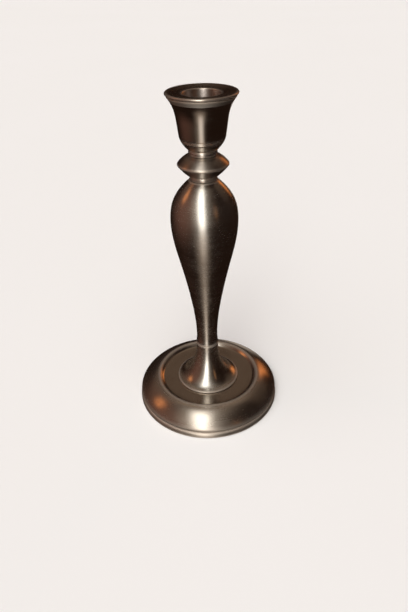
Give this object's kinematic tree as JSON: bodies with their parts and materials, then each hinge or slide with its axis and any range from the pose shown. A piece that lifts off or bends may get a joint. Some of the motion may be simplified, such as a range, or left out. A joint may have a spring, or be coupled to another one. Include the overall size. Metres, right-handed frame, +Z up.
{
  "type": "candlestick",
  "caption": "Turned candlestick with a domed round base, a pear-shaped hollow stem, a small knop and a bell-shaped cup whose loose nozzle holds a taper candle.",
  "frame": {"origin": "centre of the felt's underside, where the candlestick stands", "axes": "+Z up along the stem's axis; the shape is turned, so +X and +Y are free"},
  "size_m": [0.1072, 0.1072, 0.228],
  "materials": {
    "silver": "satin silver, lightly tarnished, with fine turning lines",
    "steel": "plain machined steel",
    "iron": "rough casting",
    "felt": "dark green wool felt"
  },
  "bodies": {
    "stand": {"felt_pad": "felt", "bottom_plate": "steel", "foot_rim": "silver", "base_shell": "silver", "base_weight": "iron", "stem_foot": "silver", "stem_shell": "silver", "lower_neck_ring": "silver", "knop": "silver", "upper_neck_ring": "silver", "candle_cup": "silver", "tie_rod": "steel", "rod_bottom_washer": "steel", "rod_bottom_nut": "steel", "rod_top_washer": "steel", "rod_top_nut": "steel"},
    "nozzle": {"candle_nozzle": "silver"}
  },
  "joints": [
    {"name": "nozzle_lift", "type": "slide", "parent": "stand", "child": "nozzle", "axis": [0, 0, 1], "range_m": [0, 0.032]}
  ]
}
